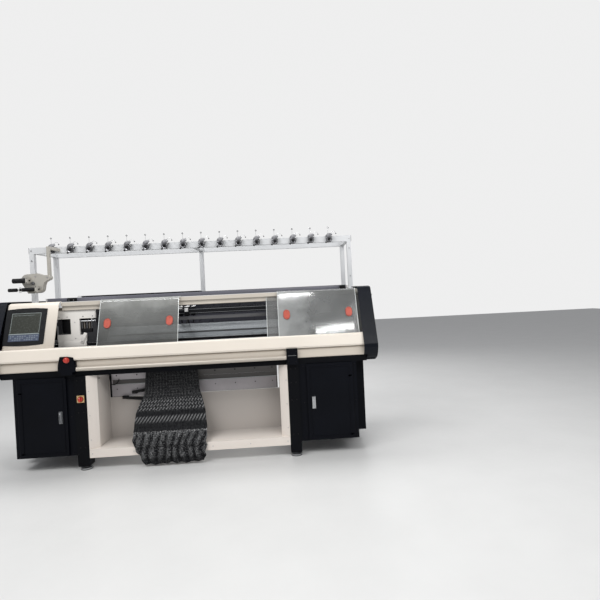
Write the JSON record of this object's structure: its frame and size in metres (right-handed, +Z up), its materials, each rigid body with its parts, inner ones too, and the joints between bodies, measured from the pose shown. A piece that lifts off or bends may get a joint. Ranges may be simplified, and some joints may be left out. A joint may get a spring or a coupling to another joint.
{
  "type": "flat knitting machine",
  "caption": "Computerised flat knitting machine: twin needle beds under sliding clear covers, a cross carriage, sloping control console, cabinets on a pedestal stand and a yarn stand above.",
  "frame": {"origin": "on the floor under the middle of the machine, centred left to right and front to back", "axes": "+X along the machine to the right as the operator faces it, +Y from the operator to the back, +Z up"},
  "size_m": [2.868, 0.94, 1.787],
  "materials": {
    "black_frame": "satin black powder coat",
    "dark_casting": "matt grey paint",
    "zinc_steel": "zinc plated",
    "cabinet_paint": "textured black powder coat",
    "liner_paint": "satin pale grey paint",
    "cream_trim": "satin cream paint",
    "cream_shell": "satin cream paint",
    "bar_aluminium": "anodised",
    "black_plastic": "fine grain",
    "red_plastic": "gloss",
    "yellow_plate": "satin",
    "bezel_black": "gloss",
    "screen_glass": "clear over a dark display",
    "end_cover_plastic": "satin moulded",
    "plate_steel": "ground",
    "bed_steel": "ground, oiled",
    "rail_steel": "ground",
    "feeder_rail_black": "black oxide",
    "carriage_grey": "painted",
    "carriage_white": "satin moulded",
    "belt_rubber": "toothed, matt",
    "pulley_alloy": "turned",
    "roller_rubber": "grooved",
    "clear_cover": "clear acrylic sheet",
    "orange_plastic": "satin",
    "rail_white": "satin",
    "rear_smoke": "satin",
    "stand_white": "satin pale grey paint",
    "tension_metal": "plated",
    "feeder_grey": "cast",
    "knitted_yarn": "ribbed knit"
  },
  "bodies": {
    "machine": {"left_pedestal": "black_frame", "right_pedestal": "black_frame", "levelling_feet": "zinc_steel", "base_beam": "black_frame", "left_cabinet": "cabinet_paint", "right_cabinet": "cabinet_paint", "center_liner": "liner_paint", "lower_trim": "cream_trim", "front_fascia": "cream_shell", "estop_bracket": "cabinet_paint", "bar_bracket": "cabinet_paint", "switch_plate": "yellow_plate", "console": "cream_shell", "console_bezel": "bezel_black", "screen": "screen_glass", "left_end_cover": "end_cover_plastic", "right_end_cover": "end_cover_plastic", "side_plates": "plate_steel", "bed_casting": "dark_casting", "front_needle_bed": "bed_steel", "guide_rails": "rail_steel", "feeder_rails": "feeder_rail_black", "drive_belt": "belt_rubber", "drive_motor": "black_plastic", "takedown_bearings": "zinc_steel", "takedown_guard": "dark_casting", "cover_rails": "rail_white", "rear_panel": "black_frame", "stand_frame": "stand_white", "tensioners": "tension_metal", "side_feeder": "feeder_grey", "knitted_fabric": "knitted_yarn"},
    "left_door": {"left_door": "cabinet_paint"},
    "right_door": {"right_door": "cabinet_paint"},
    "left_latch": {"left_latch": "zinc_steel"},
    "right_latch": {"right_latch": "zinc_steel"},
    "start_bar": {"start_bar": "bar_aluminium"},
    "estop_button": {"estop_button": "red_plastic"},
    "switch_knob": {"switch_knob": "red_plastic"},
    "rear_bed": {"rear_needle_bed": "bed_steel"},
    "feeder_1": {"yarn_feeder_1": "black_plastic"},
    "feeder_2": {"yarn_feeder_2": "black_plastic"},
    "feeder_3": {"yarn_feeder_3": "black_plastic"},
    "feeder_4": {"yarn_feeder_4": "black_plastic"},
    "carriage": {"carriage_frame": "carriage_grey", "carriage_cover": "carriage_white"},
    "drive_pulley": {"drive_pulley": "pulley_alloy"},
    "idler_pulley": {"idler_pulley": "pulley_alloy"},
    "takedown_front": {"takedown_roller_front": "roller_rubber"},
    "takedown_rear": {"takedown_roller_rear": "roller_rubber"},
    "release_levers": {"release_levers": "black_plastic"},
    "cover_left": {"front_cover_left": "clear_cover", "handles_left": "orange_plastic"},
    "cover_center": {"front_cover_center": "clear_cover"},
    "cover_right": {"front_cover_right": "clear_cover", "handles_right": "orange_plastic"},
    "rear_cover_left": {"rear_cover_left": "rear_smoke"},
    "rear_cover_right": {"rear_cover_right": "rear_smoke"},
    "feed_upper": {"feed_roller_upper": "black_plastic"},
    "feed_lower": {"feed_roller_lower": "black_plastic"}
  },
  "joints": [
    {"name": "left_door_hinge", "type": "hinge", "parent": "machine", "child": "left_door", "pos_m": [-1.23, -0.415, 0.4], "axis": [0, 0, -1], "range_deg": [0, 110]},
    {"name": "right_door_hinge", "type": "hinge", "parent": "machine", "child": "right_door", "pos_m": [1.23, -0.415, 0.4], "axis": [0, 0, 1], "range_deg": [0, 110]},
    {"name": "left_latch_turn", "type": "hinge", "parent": "left_door", "child": "left_latch", "pos_m": [-0.93, -0.42, 0.4], "axis": [0, 1, 0], "range_deg": [0, 90]},
    {"name": "right_latch_turn", "type": "hinge", "parent": "right_door", "child": "right_latch", "pos_m": [0.93, -0.42, 0.4], "axis": [0, 1, 0], "range_deg": [0, 90]},
    {"name": "start_bar_turn", "type": "hinge", "parent": "machine", "child": "start_bar", "pos_m": [0, -0.438, 0.752], "axis": [1, 0, 0], "range_deg": [-12, 12], "stiffness_Nm_per_rad": 6},
    {"name": "stop_button_press", "type": "slide", "parent": "machine", "child": "estop_button", "axis": [0, 1, 0], "range_m": [0, 0.004], "stiffness_N_per_m": 900},
    {"name": "main_switch_turn", "type": "hinge", "parent": "machine", "child": "switch_knob", "pos_m": [-0.783, -0.425, 0.528], "axis": [0, 1, 0], "range_deg": [0, 90]},
    {"name": "rear_bed_racking", "type": "slide", "parent": "machine", "child": "rear_bed", "axis": [1, 0, 0], "range_m": [-0.025, 0.025]},
    {"name": "feeder_1_slide", "type": "slide", "parent": "machine", "child": "feeder_1", "axis": [1, 0, 0], "range_m": [-0.55, 0.65]},
    {"name": "feeder_2_slide", "type": "slide", "parent": "machine", "child": "feeder_2", "axis": [1, 0, 0], "range_m": [-0.55, 0.65]},
    {"name": "feeder_3_slide", "type": "slide", "parent": "machine", "child": "feeder_3", "axis": [1, 0, 0], "range_m": [-0.55, 0.65]},
    {"name": "feeder_4_slide", "type": "slide", "parent": "machine", "child": "feeder_4", "axis": [1, 0, 0], "range_m": [-0.55, 0.65]},
    {"name": "carriage_slide", "type": "slide", "parent": "machine", "child": "carriage", "axis": [1, 0, 0], "range_m": [-0.25, 2.03]},
    {"name": "drive_pulley_turn", "type": "hinge", "parent": "machine", "child": "drive_pulley", "pos_m": [1.272, 0.247, 0.832], "axis": [0, 1, 0], "continuous": true},
    {"name": "idler_pulley_turn", "type": "hinge", "parent": "machine", "child": "idler_pulley", "pos_m": [-1.272, 0.247, 0.832], "axis": [0, 1, 0], "continuous": true},
    {"name": "takedown_front_turn", "type": "hinge", "parent": "machine", "child": "takedown_front", "pos_m": [0, -0.0235, 0.8], "axis": [1, 0, 0], "continuous": true},
    {"name": "takedown_rear_turn", "type": "hinge", "parent": "machine", "child": "takedown_rear", "pos_m": [0, 0.0235, 0.8], "axis": [1, 0, 0], "continuous": true},
    {"name": "release_lever_turn", "type": "hinge", "parent": "machine", "child": "release_levers", "pos_m": [-0.346, -0.15, 0.49], "axis": [0, 1, 0], "range_deg": [-8, 25]},
    {"name": "cover_left_slide", "type": "slide", "parent": "machine", "child": "cover_left", "axis": [1, 0, 0], "range_m": [-0.29, 0.37]},
    {"name": "cover_center_slide", "type": "slide", "parent": "machine", "child": "cover_center", "axis": [1, 0, 0], "range_m": [-0.67, 0]},
    {"name": "cover_right_slide", "type": "slide", "parent": "machine", "child": "cover_right", "axis": [1, 0, 0], "range_m": [-0.37, 0]},
    {"name": "rear_cover_left_slide", "type": "slide", "parent": "machine", "child": "rear_cover_left", "axis": [1, 0, 0], "range_m": [-0.24, 1.28]},
    {"name": "rear_cover_right_slide", "type": "slide", "parent": "machine", "child": "rear_cover_right", "axis": [1, 0, 0], "range_m": [-1.28, 0]},
    {"name": "feed_upper_turn", "type": "hinge", "parent": "machine", "child": "feed_upper", "pos_m": [-1.3, -0.166, 1.427], "axis": [1, 0, 0], "continuous": true},
    {"name": "feed_lower_turn", "type": "hinge", "parent": "machine", "child": "feed_lower", "pos_m": [-1.3, -0.166, 1.356], "axis": [1, 0, 0], "continuous": true}
  ],
  "couplings": [
    {"joint": "drive_pulley_turn", "follows": "carriage_slide", "rad_per_m": 27.5},
    {"joint": "idler_pulley_turn", "follows": "carriage_slide", "rad_per_m": 27.5},
    {"joint": "takedown_rear_turn", "follows": "takedown_front_turn", "ratio": -1},
    {"joint": "feed_lower_turn", "follows": "feed_upper_turn", "ratio": 1}
  ]
}
